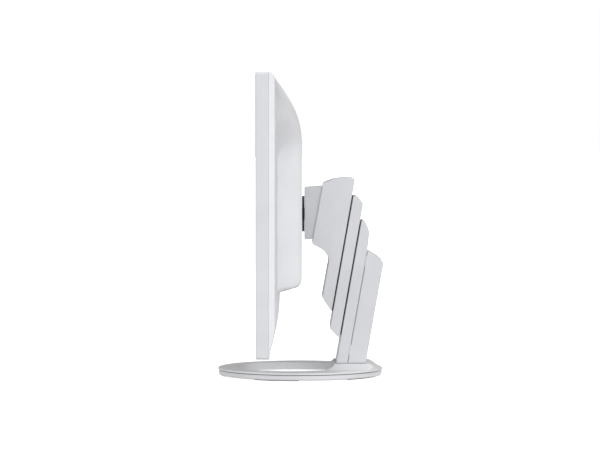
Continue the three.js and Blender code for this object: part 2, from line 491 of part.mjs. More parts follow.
// display module
add('lcd_panel', box(-303, 303, -59.2, -57.8, SC0 - 4.5, SCREEN_TOP + 4.5), 'glass');
add('optical_sheets', box(-300, 300, -57.4, -56.4, SC0 - 1.5, SCREEN_TOP + 1.5), 'sheet');
add('light_guide', box(-300, 300, -56.1, -53.1, SC0 - 1.5, SCREEN_TOP + 1.5), 'clear');
add('led_bar', box(-298, 298, -56.1, -53.1, SC0 - 3.6, SC0 - 1.8), 'zinc');
add('backlight_tray', cut(
  box(-306, 306, -57.4, -51.6, SC0 - 5.6, SCREEN_TOP + 5.6),
  box(-304.8, 304.8, -60, -52.8, SC0 - 4.4, SCREEN_TOP + 4.4)), 'zinc');

// chassis that carries the stand plate
add('chassis_bracket', cut(
  join(box(-130, 130, -51.2, -49.6, 160, 320),
    box(-60, 60, -50, -3.5, PIVOT_Z - 60, PIVOT_Z + 60)),
  box(-58.4, 58.4, -60, -5.1, PIVOT_Z - 58.4, PIVOT_Z + 58.4),
  discY(22, -8, 0, 0, PIVOT_Z, 32),
  ...[[-50, -50], [50, -50], [-50, 50], [50, 50]].map(([x, z]) => discY(2.3, -8, 0, x, PIVOT_Z + z, 12))), 'steel');
add('main_board', join(
  box(-190, -75, -44.5, -42.9, 170, 300),
  box(-170, -120, -43.1, -38, 220, 260), box(-112, -90, -43.1, -36, 190, 214)), 'board');
add('power_board', join(
  box(75, 190, -44.5, -42.9, 170, 300),
  box(90, 130, -43.1, -18, 235, 285), box(140, 175, -43.1, -22, 180, 215)), 'board');

// sockets face down through the bay under the housing
const sockets = (name, x0, x1, y0, y1, z0, hole, colour = 'socket') => add(name, cut(
  box(x0, x1, y0, y1, z0, z0 + 14),
  box(x0 + hole, x1 - hole, y0 + hole, y1 - hole, z0 - 3, z0 + 9)), colour);
add('socket_panel', cut(
  box(-116, 116, -31.5, -8.5, 155.6, 156.8),
  box(62.6, 96.4, -29, -9.5, 151, 160), box(24.6, 47.4, -26, -11, 151, 160),
  box(-1.4, 21.4, -26, -13, 151, 160), box(-47.4, -6.6, -26, -11, 151, 160),
  box(-79.4, -60.6, -26.4, -11.6, 151, 160), box(-105.4, -90.6, -26, -13, 151, 160)), 'zinc');
sockets('power_inlet', 63, 96, -28.5, -10, 144, 2.6);
sockets('video_socket_1', 0, 20, -25.5, -13.5, 146, 1.4, 'steel');
sockets('video_socket_2', -46, -8, -25.5, -12, 146, 1.6, 'steel');
sockets('usb_socket', -78, -62, -25.9, -12.1, 146, 1.5, 'steel');
sockets('audio_socket', -104, -92, -25.5, -13.5, 146, 3.4);
// rocker switch next to the power inlet
add('switch_frame', cut(box(25, 47, -25.6, -11.4, 143, 157), box(27, 45, -23.9, -13.1, 140, 154)), 'socket');
add('power_rocker', alongY(shapeOf(outline([[28.4, 143.6], [36, 144.8], [43, 141.8], [43, 145.6], [36, 151.6], [28.4, 147]], 1)), -23.4, -13.6), 'key');

for (const [side, s] of [['left', -1], ['right', 1]]) {
  const x = s * 120;
  add(`speaker_${side}`, join(
    box(x - 38, x + 38, -57, -45, 50, 73),
    discY(9.5, -59.2, -56.5, x, 61.5, 20)), 'cone');
}

export default group;
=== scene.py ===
# Desktop monitor on a ring-based sliding stand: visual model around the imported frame.
import bpy, bmesh, json, math
from mathutils import Vector, Matrix


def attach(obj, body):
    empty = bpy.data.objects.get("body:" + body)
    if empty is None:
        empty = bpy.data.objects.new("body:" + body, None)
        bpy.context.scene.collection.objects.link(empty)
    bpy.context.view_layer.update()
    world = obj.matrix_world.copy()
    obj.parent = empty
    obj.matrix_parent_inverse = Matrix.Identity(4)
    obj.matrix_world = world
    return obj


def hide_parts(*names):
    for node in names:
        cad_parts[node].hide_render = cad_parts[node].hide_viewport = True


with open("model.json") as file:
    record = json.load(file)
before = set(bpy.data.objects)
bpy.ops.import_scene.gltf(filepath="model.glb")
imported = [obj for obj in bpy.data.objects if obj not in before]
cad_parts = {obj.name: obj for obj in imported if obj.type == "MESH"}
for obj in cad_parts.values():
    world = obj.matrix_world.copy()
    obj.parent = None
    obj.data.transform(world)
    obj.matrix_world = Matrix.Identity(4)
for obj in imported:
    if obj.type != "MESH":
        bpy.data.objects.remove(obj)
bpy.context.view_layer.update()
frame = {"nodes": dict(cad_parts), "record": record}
MM = 0.001
LIFT = 2.4          # the column, slabs, neck and head are drawn this much lower than they stand
scene = bpy.context.scene
scene.view_settings.view_transform = "Standard"
scene.view_settings.look = "None"

# ------------------------------------------------------------------ camera
D, HE, S0, U0, V0 = 4500.0, 372.0, 0.6735, 300.3, 124.4
F = S0 * D
cam_data = bpy.data.cameras.new("camera")
cam = bpy.data.objects.new("camera", cam_data)
scene.collection.objects.link(cam)
cam_data.sensor_width = 36.0
cam_data.lens = F / 600.0 * 36.0
cam_data.clip_start, cam_data.clip_end = 0.05, 60
pitch = math.atan((225.0 - V0) / F)
cam.rotation_euler = (math.pi / 2 - pitch, 0, math.pi / 2)
cam.location = (D * MM, (300.0 - U0) / S0 * MM, HE * MM)
scene.camera = cam

# ------------------------------------------------------------------ materials
def nodes_of(mat):
    mat.use_nodes = True
    nt = mat.node_tree
    bsdf = nt.nodes.get("Principled BSDF")
    return nt, bsdf

def obj_coords(nt):
    tc = nt.nodes.new("ShaderNodeTexCoord")
    return tc.outputs["Object"]

def noise(nt, coords, scale, detail=3, rough=0.55):
    n = nt.nodes.new("ShaderNodeTexNoise")
    n.inputs["Scale"].default_value = scale
    n.inputs["Detail"].default_value = detail
    n.inputs["Roughness"].default_value = rough
    nt.links.new(coords, n.inputs["Vector"])
    return n.outputs["Fac"]

def ramp(nt, fac, a, b, lo, hi):
    m = nt.nodes.new("ShaderNodeMapRange")
    m.inputs["From Min"].default_value = a
    m.inputs["From Max"].default_value = b
    m.inputs["To Min"].default_value = lo
    m.inputs["To Max"].default_value = hi
    nt.links.new(fac, m.inputs["Value"])
    return m.outputs["Result"]

def mix_colour(nt, fac, a, b):
    m = nt.nodes.new("ShaderNodeMix")
    m.data_type = "RGBA"
    m.inputs[6].default_value = (*a, 1)
    m.inputs[7].default_value = (*b, 1)
    nt.links.new(fac, m.inputs[0])
    return m.outputs[2]

def moulded(name, colour, rough=0.5, grain=0.45, depth=0.018, vary=0.018, spread=0.08, metallic=0.0, spec=0.5, coat=0.0):
    """Moulded or coated surface: fine grain of the given pitch (mm) and depth (mm), faint cloudy tone, and painted
    shade in the grain's pits.
    """
    mat = bpy.data.materials.new(name)
    nt, b = nodes_of(mat)
    co = obj_coords(nt)
    cloud = noise(nt, co, 22.0, 4, 0.6)
    speck = noise(nt, co, 1000.0 / grain * 0.8, 2, 0.5)
    darker = [c * (1 - 2 * vary) for c in colour]
    lighter = [min(1, c * (1 + vary)) for c in colour]
    base = mix_colour(nt, ramp(nt, cloud, 0.3, 0.7, 0, 1), darker, lighter)
    # painted shade: the base colour is darkened a trace in the grain's pits
    m = nt.nodes.new("ShaderNodeMix"); m.data_type = "RGBA"; m.blend_type = "MULTIPLY"
    nt.links.new(ramp(nt, speck, 0.25, 0.45, 0.6, 0.0), m.inputs[0])
    nt.links.new(base, m.inputs[6]); m.inputs[7].default_value = (0.93, 0.93, 0.94, 1)
    nt.links.new(m.outputs[2], b.inputs["Base Color"])
    fine = noise(nt, co, 1000.0 / grain * 0.5, 2, 0.5)
    nt.links.new(ramp(nt, fine, 0.3, 0.7, rough - spread / 2, rough + spread / 2), b.inputs["Roughness"])
    b.inputs["Metallic"].default_value = metallic
    b.inputs["Specular IOR Level"].default_value = spec
    b.inputs["Coat Weight"].default_value = coat
    b.inputs["Coat Roughness"].default_value = 0.25
    bump = nt.nodes.new("ShaderNodeBump")
    bump.inputs["Strength"].default_value = 0.55
    bump.inputs["Distance"].default_value = depth * MM
    nt.links.new(speck, bump.inputs["Height"])
    nt.links.new(bump.outputs["Normal"], b.inputs["Normal"])
    return mat

def brushed(name, colour, rough=0.35, axis="X", metallic=1.0, pitch_mm=0.25):
    mat = bpy.data.materials.new(name)
    nt, b = nodes_of(mat)
    co = obj_coords(nt)
    mp = nt.nodes.new("ShaderNodeMapping")
    k = 1000.0 / pitch_mm
    sc = {"X": (k * 0.01, k, k), "Y": (k, k * 0.01, k), "Z": (k, k, k * 0.01)}[axis]
    mp.inputs["Scale"].default_value = sc
    nt.links.new(co, mp.inputs["Vector"])
    st = noise(nt, mp.outputs["Vector"], 1.0, 2, 0.6)
    cloud = noise(nt, co, 60.0, 3, 0.6)
    base = mix_colour(nt, ramp(nt, cloud, 0.3, 0.7, 0, 1), [c * 0.93 for c in colour], colour)
    nt.links.new(base, b.inputs["Base Color"])
    nt.links.new(ramp(nt, st, 0.3, 0.7, rough - 0.08, rough + 0.1), b.inputs["Roughness"])
    b.inputs["Metallic"].default_value = metallic
    bump = nt.nodes.new("ShaderNodeBump")
    bump.inputs["Strength"].default_value = 0.35
    bump.inputs["Distance"].default_value = 0.006 * MM
    nt.links.new(st, bump.inputs["Height"])
    nt.links.new(bump.outputs["Normal"], b.inputs["Normal"])
    return mat

def board(name):
    mat = bpy.data.materials.new(name)
    nt, b = nodes_of(mat)
    co = obj_coords(nt)
    v = nt.nodes.new("ShaderNodeTexVoronoi")
    v.feature = "DISTANCE_TO_EDGE"; v.inputs["Scale"].default_value = 260.0
    nt.links.new(co, v.inputs["Vector"])
    base = mix_colour(nt, ramp(nt, v.outputs["Distance"], 0.02, 0.06, 0, 1), (0.06, 0.20, 0.10), (0.018, 0.085, 0.042))
    nt.links.new(base, b.inputs["Base Color"])
    nt.links.new(ramp(nt, noise(nt, co, 300), 0.3, 0.7, 0.3, 0.45), b.inputs["Roughness"])
    return mat

M = {}
M["white_shell"] = moulded("white_shell", (0.80, 0.805, 0.82), rough=0.5, grain=0.5, depth=0.02)
# painted light: the rear cover's white is set lighter than the bezel's (0.855 against 0.715), a lit copy of the
# housing's white plastic that makes up for shade on the cover
M["cover"] = moulded("cover_white_painted_light", (0.855, 0.86, 0.885), rough=0.46, grain=0.5, depth=0.018)
M["bezel"] = moulded("bezel_white", (0.715, 0.72, 0.745), rough=0.44, grain=0.45, depth=0.016)
M["stand"] = moulded("stand_white", (0.70, 0.705, 0.73), rough=0.45, grain=0.5, depth=0.018)
M["white_metal"] = moulded("white_coat", (0.78, 0.785, 0.80), rough=0.4, grain=0.35, depth=0.012, vary=0.012, coat=0.15)
M["grey_metal"] = moulded("grey_coat", (0.80, 0.805, 0.825), rough=0.42, grain=0.35, depth=0.012, vary=0.012)
M["white_block"] = moulded("block_coat", (0.64, 0.645, 0.665), rough=0.46, grain=0.45, depth=0.015)
M["dark_plastic"] = moulded("dark_plastic", (0.045, 0.047, 0.052), rough=0.5, grain=0.4, depth=0.02, vary=0.05)
M["black_plastic"] = moulded("black_plastic", (0.018, 0.018, 0.02), rough=0.45, grain=0.4, depth=0.015, vary=0.05)
M["foot_rubber"] = moulded("foot_rubber", (0.03, 0.03, 0.032), rough=0.85, grain=0.7, depth=0.05, vary=0.08)
M["slide_plastic"] = moulded("slide_plastic", (0.80, 0.79, 0.74), rough=0.35, grain=0.6, depth=0.008)
M["key_plastic"] = moulded("key_plastic", (0.66, 0.665, 0.68), rough=0.32, grain=0.3, depth=0.006)
M["white_sheet"] = moulded("white_sheet", (0.86, 0.86, 0.85), rough=0.55, grain=0.2, depth=0.004)
M["clear_plastic"] = moulded("clear_plastic", (0.80, 0.85, 0.87), rough=0.12, grain=1.2, depth=0.004)
M["bare_steel"] = brushed("bare_steel", (0.56, 0.57, 0.59), 0.34)
M["socket_metal"] = brushed("socket_metal", (0.62, 0.63, 0.64), 0.28)
M["tray_metal"] = brushed("tray_metal", (0.62, 0.63, 0.65), 0.4, pitch_mm=0.5)
M["cast_slider"] = moulded("cast_slider", (0.50, 0.51, 0.53), rough=0.5, grain=0.8, depth=0.03, metallic=0.9, vary=0.04)
M["board"] = board("board")

def screen_material():
    mat = bpy.data.materials.new("screen")
    nt, b = nodes_of(mat)
    co = obj_coords(nt)
    # anti-glare film: a very fine sparkle over a near-black panel with a faint pixel grid
    w = nt.nodes.new("ShaderNodeTexWave"); w.bands_direction = "X"; w.inputs["Scale"].default_value = 1000 / 0.233 / 20
    nt.links.new(co, w.inputs["Vector"])
    base = mix_colour(nt, ramp(nt, w.outputs["Fac"], 0.1, 0.9, 0, 1), (0.0075, 0.008, 0.0095), (0.011, 0.0115, 0.013))
    nt.links.new(base, b.inputs["Base Color"])
    sp = noise(nt, co, 4200.0, 1, 0.5)
    nt.links.new(ramp(nt, sp, 0.3, 0.7, 0.30, 0.40), b.inputs["Roughness"])
    b.inputs["Specular IOR Level"].default_value = 0.28
    bump = nt.nodes.new("ShaderNodeBump"); bump.inputs["Strength"].default_value = 0.4; bump.inputs["Distance"].default_value = 0.004 * MM
    nt.links.new(sp, bump.inputs["Height"]); nt.links.new(bump.outputs["Normal"], b.inputs["Normal"])
    return mat
M["screen"] = screen_material()

# ------------------------------------------------------------------ mesh helpers (millimetres in, metres out)
def new_object(name, verts, faces, mat, body, replaces=(), sharp=32):
    me = bpy.data.meshes.new(name)
    me.from_pydata([(x * MM, y * MM, z * MM) for x, y, z in verts], [], faces)
    me.validate()
    ob = bpy.data.objects.new(name, me)
    scene.collection.objects.link(ob)
    me.materials.append(mat)
    fix_mesh(ob)
    ob["_sharp"] = sharp
    if replaces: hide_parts(*replaces)
    ob["_body"] = body
    return ob

def fix_mesh(ob, dist=1e-7):
    bm = bmesh.new(); bm.from_mesh(ob.data)
    bmesh.ops.remove_doubles(bm, verts=bm.verts, dist=dist)
    bmesh.ops.dissolve_degenerate(bm, edges=bm.edges, dist=dist)
    bmesh.ops.recalc_face_normals(bm, faces=bm.faces)
    bm.to_mesh(ob.data); bm.free()

def shade(ob, deg):
    bm = bmesh.new(); bm.from_mesh(ob.data)
    for f in bm.faces: f.smooth = True
    lim = math.radians(deg)
    for e in bm.edges:
        e.smooth = not (len(e.link_faces) != 2 or e.calc_face_angle(0) > lim)
    bm.to_mesh(ob.data); bm.free()

def apply_modifiers(ob):
    dg = bpy.context.evaluated_depsgraph_get()
    dg.update()
    ev = ob.evaluated_get(dg)
    me = bpy.data.meshes.new_from_object(ev, preserve_all_data_layers=True, depsgraph=dg)
    old = ob.data
    ob.modifiers.clear()
    ob.data = me
    bpy.data.meshes.remove(old)

def boolean(ob, cutters, op="DIFFERENCE"):
    for c in cutters:
        m = ob.modifiers.new("cut", "BOOLEAN")
        m.operation = op; m.solver = "EXACT"; m.object = c
    apply_modifiers(ob)
    for c in cutters:
        me = c.data
        bpy.data.objects.remove(c)
        bpy.data.meshes.remove(me)
    fix_mesh(ob)

def done(ob, bevel=0.0, segments=2, angle=38, lift=LIFT):
    """Small rounded edges, clean shading, its height, and the ride on its body."""
    if bevel:
        m = ob.modifiers.new("bevel", "BEVEL")
        m.width = bevel * MM; m.segments = segments; m.limit_method = "ANGLE"; m.angle_limit = math.radians(angle)
        m.use_clamp_overlap = True; m.miter_outer = "MITER_ARC"
        apply_modifiers(ob)
    shade(ob, ob.get("_sharp", 32))
    ob.data.transform(Matrix.Translation((0, 0, lift * MM)))
    m = ob.modifiers.new("weighted", "WEIGHTED_NORMAL"); m.keep_sharp = True; m.weight = 80
    body = ob["_body"]
    del ob["_body"]; 
    if "_sharp" in ob: del ob["_sharp"]
    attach(ob, body)
    return ob

def loft(loops, close=True, caps=False):
    n = len(loops[0]); verts = [p for l in loops for p in l]; faces = []
    m = len(loops)
    for i in range(m if close else m - 1):
        a, b = i * n, ((i + 1) % m) * n
        for k in range(n):
            k2 = (k + 1) % n
            faces.append((a + k, a + k2, b + k2, b + k))
    if caps:
        faces.append(tuple(reversed(range(n)))); faces.append(tuple((m - 1) * n + k for k in range(n)))
    return verts, faces

def outline(pts, seg=10):
    out = []; n = len(pts)
    for i, p in enumerate(pts):
        px, py = p[0], p[1]; r = p[2] if len(p) > 2 else 0
        if not r: out.append((px, py)); continue
        P = Vector((px, py)); a = Vector(pts[i - 1][:2]) - P; b = Vector(pts[(i + 1) % n][:2]) - P
        la, lb = a.length, b.length; a.normalize(); b.normalize()
        half = math.acos(max(-1, min(1, a.dot(b)))) / 2
        d = min(r / math.tan(half), la * .49, lb * .49); rr = d * math.tan(half)
        c = P + (a + b).normalized() * rr / math.sin(half)
        s = P + a * d - c; e = P + b * d - c
        a0 = math.atan2(s.y, s.x); da = math.atan2(e.y, e.x) - a0
        while da > math.pi: da -= 2 * math.pi
        while da < -math.pi: da += 2 * math.pi
        for k in range(seg + 1):
            q = a0 + da * k / seg
            out.append((c.x + rr * math.cos(q), c.y + rr * math.sin(q)))
    return out

def area2(p):
    return sum(p[i - 1][0] * p[i][1] - p[i][0] * p[i - 1][1] for i in range(len(p)))

def inset(p, d):
    """Outline moved inwards by d along its vertices' mitres."""
    if d == 0: return list(p)
    s = 1 if area2(p) > 0 else -1
    out = []; n = len(p)
    for i in range(n):
        a, b, c = Vector(p[i - 1]), Vector(p[i]), Vector(p[(i + 1) % n])
        u, v = (b - a).normalized(), (c - b).normalized()
        nu, nv = Vector((-u.y, u.x)) * s, Vector((-v.y, v.x)) * s
        m = nu + nv
        k = m.length_squared
        m = m * (2 / k) if k > 1e-6 else nu
        if m.length > 2.5: m = m.normalized() * 2.5
        q = b + m * d
        out.append((q.x, q.y))
    return out

def shrunk(corners, d, seg):
    """Outline of the corner list moved inwards by d, with the same number of points at every d."""
    q = inset([(c[0], c[1]) for c in corners], d)
    return outline([(a, b, max(c[2] - d, 0.05)) if len(c) > 2 and c[2] else (a, b) for (a, b), c in zip(q, corners)], seg)

def prism_x(corners, x0, x1, r=1.2, seg=4, arc=10):
    """Corners in (Y, Z, radius) drawn out along X, with both rims rounded by r."""
    loops = []
    for x, s, ks in ((x0, 1, range(seg + 1)), (x1, -1, range(seg, -1, -1))):
        for k in ks:
            t = math.pi / 2 * k / seg
            loops.append([(x + s * r * (1 - math.cos(t)), y, z) for y, z in shrunk(corners, r * (1 - math.sin(t)), arc)])
    return loft(loops, close=False, caps=True)

LEAN = math.radians(10); SN, CS = math.sin(LEAN), math.cos(LEAN)
def slab(n, t, *r): return (n * CS + t * SN, -n * SN + t * CS, *r)

def cutter(verts, faces):
    me = bpy.data.meshes.new("cutter"); me.from_pydata([(x * MM, y * MM, z * MM) for x, y, z in verts], [], faces)
    ob = bpy.data.objects.new("cutter", me); scene.collection.objects.link(ob)
    fix_mesh(ob)
    return ob

def cut_x(profile, x0, x1):
    return cutter(*loft([[(x0, y, z) for y, z in profile], [(x1, y, z) for y, z in profile]], close=False, caps=True))
def cut_y(profile, y0, y1):
    return cutter(*loft([[(x, y0, z) for x, z in profile], [(x, y1, z) for x, z in profile]], close=False, caps=True))
def cut_box(x0, x1, y0, y1, z0, z1):
    return cut_x([(y0, z0), (y1, z0), (y1, z1), (y0, z1)], x0, x1)
def circle(r, n, cx=0, cy=0, a0=0.0):
    return [(cx + r * math.cos(a0 + 2 * math.pi * i / n), cy + r * math.sin(a0 + 2 * math.pi * i / n)) for i in range(n)]
def rrect(x0, x1, z0, z1, r, seg=8):
    return outline([(x0, z0, r), (x1, z0, r), (x1, z1, r), (x0, z1, r)], seg)
def smooth(a, b, v):
    u = max(0.0, min(1.0, (v - a) / (b - a))); return u * u * (3 - 2 * u)
def lerp(a, b, u): return a + (b - a) * u
def catmull(pts, per=6):
    out = []
    n = len(pts)
    for i in range(n - 1):
        p0, p1, p2, p3 = pts[max(i - 1, 0)], pts[i], pts[i + 1], pts[min(i + 2, n - 1)]
        for k in range(per):
            t = k / per
            out.append(tuple(0.5 * ((2 * p1[j]) + (-p0[j] + p2[j]) * t + (2 * p0[j] - 5 * p1[j] + 4 * p2[j] - p3[j]) * t * t
                       + (-p0[j] + 3 * p1[j] - 3 * p2[j] + p3[j]) * t ** 3) for j in range(2)))
    out.append(tuple(pts[-1]))
    return out

# ------------------------------------------------------------------ stand slabs
SX = 50.0
A_FRONT, A_REAR, B_FRONT, B_REAR, C_FRONT, C_REAR, D_FRONT, D_REAR = 11.6, 28.9, 30.9, 46.9, 48.9, 65.0, 65.5, 91.7
FOOT_Z = 18.4

def at_foot(n): return slab(n, (FOOT_Z + n * SN) / CS)

# fixed front slab
v, f = prism_x([at_foot(C_FRONT), at_foot(C_REAR), slab(C_REAR, 199, 4), slab(63.4, 226.5, 4), slab(57, 237, 6), slab(C_FRONT, 243, 4)], -SX, SX)
ob = new_object("front_slab", v, f, M["stand"], "turntable", ["column_front"])
cav = [slab(C_FRONT + 2.6, 10), slab(C_REAR + 5, 10), slab(C_REAR + 5, 190), slab(C_REAR - 2.6, 197), slab(61, 225), slab(55.5, 234), slab(C_FRONT + 2.6, 238)]
slot_c = [slab(C_FRONT - 3, 70), slab(C_FRONT + 4, 70), slab(C_FRONT + 4, 236), slab(C_FRONT - 3, 236)]
boolean(ob, [cut_x(cav, -47.2, 47.2), cut_x(slot_c, -8, 8), cut_box(-44, 44, 55.5, 90, FOOT_Z - 8, 30)])
done(ob, 0.3)

# rear cover of the column
v, f = prism_x([at_foot(D_FRONT), at_foot(D_REAR), slab(D_REAR, 186, 7), slab(80, 192.5, 40), slab(D_FRONT, 197.5, 2)], -SX, SX, 1.6)
ob = new_object("cable_cover", v, f, M["stand"], "turntable", ["column_rear_cover"])
cav = [slab(D_FRONT - 5, -15), slab(D_REAR - 2.8, -15), slab(D_REAR - 2.8, 182), slab(78, 188.5), slab(D_FRONT - 5, 193)]
boolean(ob, [cut_x(cav, -47.2, 47.2)])
for t0, t1 in ((42.1, 57.8), (174.8, 191.1)):      # pads that close the seam where the cover clips on
    pad = [slab(65.05, t0), slab(67, t0), slab(67, t1), slab(65.05, t1)]
    boolean(ob, [cut_x(pad, -50, -47.2), cut_x(pad, 47.2, 50)], "UNION")
done(ob, 0.3)

# middle slab
v, f = prism_x([slab(B_FRONT, 76, 1.5), slab(B_REAR, 64.5, 1.5), slab(B_REAR, 266, 6), slab(40, 272.5), slab(B_FRONT, 276, 4)], -SX, SX)
ob = new_object("middle_slab_shell", v, f, M["stand"], "middle_slab", ["middle_shell"])
cav = [slab(B_FRONT + 2.7, 78.5), slab(B_REAR + 5, 66.9), slab(B_REAR + 5, 262), slab(40, 269.5), slab(B_FRONT + 2.7, 272.3)]
slot_b = [slab(B_FRONT - 3, 102), slab(B_FRONT + 4, 102), slab(B_FRONT + 4, 269), slab(B_FRONT - 3, 269)]
boolean(ob, [cut_x(cav, -47.2, 47.2), cut_x(slot_b, -8, 8)])
done(ob, 0.3)

# carriage with its two cheeks
sweep = catmull([(17.4, 193.6), (22.5, 191.2), (29.5, 187.4), (35.2, 183), (39.6, 177.2), (41.6, 170.5), (41.2, 164.5), (39.8, 157.5)], 6)
sweep = [sweep[0]] + sweep[6:]
corners = list(reversed(sweep)) + [(34.0, 283.4, 5), (49.5, 289.4, 30), (65.6, 291.4, 30), slab(A_REAR, 300.2, 3), slab(A_REAR, 100.9, 1), (32.2, 115.2, 1.5)]
v, f = prism_x(corners, -SX, SX, 1.4, 5)
ob = new_object("carriage_body", v, f, M["stand"], "carriage", ["carriage_shell"])
pocket = outline([slab(-40, 176), slab(A_REAR - 3, 176, 3), slab(A_REAR - 3, 292.5, 3), slab(0, 287), slab(-3.5, 287), slab(-3.5, 330), slab(-40, 330)], 6)
lower = [slab(A_FRONT + 2.8, 121), slab(A_REAR + 5, 98), slab(A_REAR + 5, 172), slab(A_FRONT + 2.8, 172)]
def cut_t(profile, t0, t1):
    """Profile in (X, n), drawn along the lean."""
    return cutter(*loft([[(x, *slab(n, t)) for x, n in profile] for t in (t0, t1)], close=False, caps=True))
taper = [(50, A_FRONT), (48.29, A_FRONT - 30), (53, A_FRONT - 30), (53, A_FRONT)]
boolean(ob, [cut_x(pocket, -45.3, 45.3), cut_x(lower, -46.8, 46.8), cut_t(taper, 150, 310), cut_t([(-x, n) for x, n in taper], 150, 310)])
done(ob, 0.3)

# wiper strips in the two sliding gaps
for name, n0, n1, t0, t1, body in (("front_gap_wiper", 28.97, 30.6, 102, 275, "carriage"), ("rear_gap_wiper", 46.97, 48.6, 70, 238, "middle_slab")):
    for side, x0, x1 in (("left", -48.5, -42.0), ("right", 42.0, 48.5)):
        v, f = prism_x([slab(n0, t0), slab(n1, t0, 0.5), slab(n1, t1, 0.5), slab(n0, t1)], x0, x1, 0.25, 2, 4)
        done(new_object(name + "_" + side, v, f, M["foot_rubber"], body), 0.0)

# tilt block
PZ = 237.0
front = [(6.2, 200.8, 1.5), (23.5, 200.8), (22.6, 226), (22.6, 239), (38.4, 263), (39.5, 272, 3), (36, 278.6, 3), (6.2, 276.4, 2)]
hub = [(20, 212), (34.8, 228.4), (41.6, 231.2, 2), (44.4, 238, 3), (41.6, 244.8, 2), (34.8, 250), (20, 262)]
flange = [(18, 206), (27, 212, 3), (28.5, 226, 4), (28.5, 246, 4), (30.5, 254, 2), (24, 256), (18, 250)]
v, f = prism_x(front, -44, 44, 1.4, 5)
ob = new_object("neck_block", v, f, M["white_block"], "neck", ["tilt_block"])
boolean(ob, [cutter(*prism_x(hub, -33, 33, 0.6, 2)), cutter(*prism_x(flange, 41.2, 44, 0.3, 1)), cutter(*prism_x(flange, -44, -41.2, 0.3, 1))], "UNION")
boolean(ob, [cut_x(circle(5.35, 48, 34.8, 238), -60, 60), cut_y(circle(17, 64, 0, PZ), 0, 9.9), cut_y(circle(9.4, 48, 0, PZ), 0, 14)])
done(ob, 0.3)

# ------------------------------------------------------------------ base
def plate_top(x, y):
    dx = max(0.0, abs(x) - 51.0); front = max(0.0, 52 - y); rear = max(0.0, y - 99)
    u = max(0.0, min(1.0, 1 - math.sqrt((dx / 23) ** 2 + (front / 35) ** 2 + (rear / 20) ** 2)))
    return 12.0 + 8.4 * u * u * (3 - 2 * u)
HOLE_R, HOLE_Y, CHORD = 84.0, -11.0, 49.0
def hole_rho(q, e):
    s = math.sin(q); r = HOLE_R + e
    if s <= 0.05: return r
    a, b = r, (CHORD + e - HOLE_Y) / s
    k = 2.2      # small blend radius at the two corners
    h = max(0.0, 1 - abs(a - b) / k)
    return min(a, b) - k * h * h / 4
def rim_rho(q, R):
    s = math.sin(q); d = -HOLE_Y
    return d * s + math.sqrt(d * d * s * s - d * d + R * R)
qc = math.asin((CHORD - HOLE_Y) / HOLE_R)
angles = [qc + (math.pi - 2 * qc) * i / 56 for i in range(56)] + [math.pi - qc + (math.pi + 2 * qc) * i / 200 for i in range(200)]
loops = []
def ring_loop(fn): loops.append([fn(q) for q in angles])
def at(q, rho): return rho * math.cos(q), HOLE_Y + rho * math.sin(q)
def flat(rho_fn, z): ring_loop(lambda q: (*at(q, rho_fn(q)), z))
def top(rho_fn, dz=0.0):
    def g(q):
        x, y = at(q, rho_fn(q)); return (x, y, plate_top(x, y) + dz)
    ring_loop(g)
flat(lambda q: hole_rho(q, 0), 1.3)
top(lambda q: hole_rho(q, 0), -1.0)
for k in range(1, 5):
    t = math.pi / 2 * k / 4
    top(lambda q, t=t: hole_rho(q, 0) + 1.0 * (1 - math.cos(t)), -1.0 * (1 - math.sin(t)))
for k in range(1, 13):
    top(lambda q, u=k / 13: lerp(hole_rho(q, 1.0), rim_rho(q, 119.5), u))
for k in range(0, 8):
    t = math.pi / 2 * k / 7
    ring_loop(lambda q, t=t: (lambda R: (*at(q, rim_rho(q, R)), lerp(plate_top(*at(q, rim_rho(q, R))), 10.1, 0) - 2.1 * (1 - math.cos(t))))(119.5 + 3.0 * math.sin(t)))
flat(lambda q: rim_rho(q, 122.5), 9.4)
flat(lambda q: rim_rho(q, 122.3), 9.05)
flat(lambda q: rim_rho(q, 122.0), 8.9)
flat(lambda q: hole_rho(q, 3), 8.9)
flat(lambda q: hole_rho(q, 3), 1.3)
v, f = loft(loops)
ob = new_object("turntable_top", v, f, M["white_metal"], "turntable", ["turntable_plate"], sharp=40)
done(ob, lift=0.0)

def lathe(profile, n=160):
    ls = [[(r * math.cos(2 * math.pi * i / n), r * math.sin(2 * math.pi * i / n), z) for i in range(n)] for r, z in profile]
    return loft(ls)
ringp = [(100, 4.2), (103.2, 4.2), (103.2, 1.2), (103.4, 1.0)]
ringp += [(119.2 + 2.0 * math.sin(math.pi / 2 * k / 5), 1.0 + 2.0 * (1 - math.cos(math.pi / 2 * k / 5))) for k in range(6)]
ringp += [(121.2, 7.7), (121.05, 7.95), (120.8, 8.1), (114.2, 8.1), (114.2, 6.3), (105.8, 6.3), (105.8, 8.1), (100, 8.1)]
v, f = lathe(ringp)
ob = new_object("lower_ring", v, f, M["grey_metal"], "base", ["base_ring"], sharp=40)
pads = []
def arc_pad(i, h, r0, r1, z0, z1):
    a = -math.pi / 2 + i * 2 * math.pi / 5
    pts = [(r1 * math.cos(a - h + 2 * h * k / 24), r1 * math.sin(a - h + 2 * h * k / 24)) for k in range(25)]
    pts += [(r0 * math.cos(a + h - 2 * h * k / 24), r0 * math.sin(a + h - 2 * h * k / 24)) for k in range(25)]
    return [[(x, y, z0) for x, y in pts], [(x, y, z1) for x, y in pts]]
boolean(ob, [cutter(*loft(arc_pad(i, 0.30, 106.6, 117.4, 0.2, 1.8), close=False, caps=True)) for i in range(5)])
done(ob, lift=0.0)

